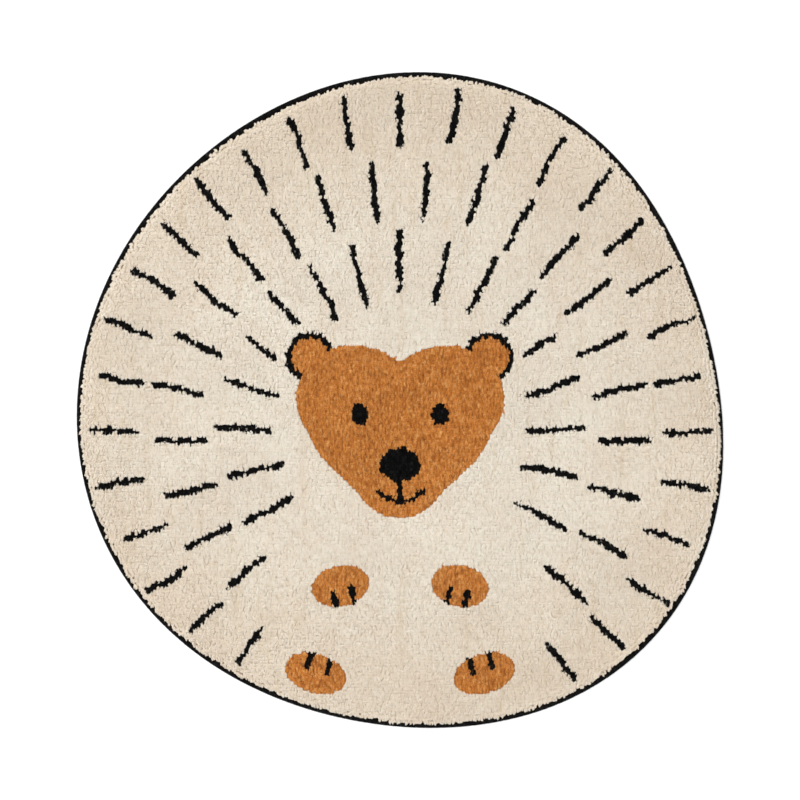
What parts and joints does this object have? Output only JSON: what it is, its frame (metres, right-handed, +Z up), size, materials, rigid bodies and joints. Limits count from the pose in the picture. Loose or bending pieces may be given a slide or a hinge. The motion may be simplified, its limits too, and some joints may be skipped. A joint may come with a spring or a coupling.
{
  "type": "animal shaped kids rug",
  "caption": "Round uneven cut-pile kids rug with a simple animal face in ochre and black on cream, lying flat, with a black overcast edge.",
  "frame": {"origin": "middle of the rug's flat underside, where it meets the floor", "axes": "+Z up out of the pile; +Y towards the top of the face, between the ears; +X to the right as the face is seen from above"},
  "size_m": [1.0004, 1.0148, 0.0149],
  "materials": {
    "pile_cream": "matte cream cut pile",
    "pile_ochre": "matte ochre cut pile, in the face's coloured patches",
    "pile_black": "matte black cut pile, in the face's lines",
    "backing_cloth": "matte plain-woven backing",
    "edge_yarn": "matte black yarn"
  },
  "bodies": {
    "root": {"tufted_body": "pile_cream", "edge_binding": "edge_yarn"}
  },
  "joints": []
}
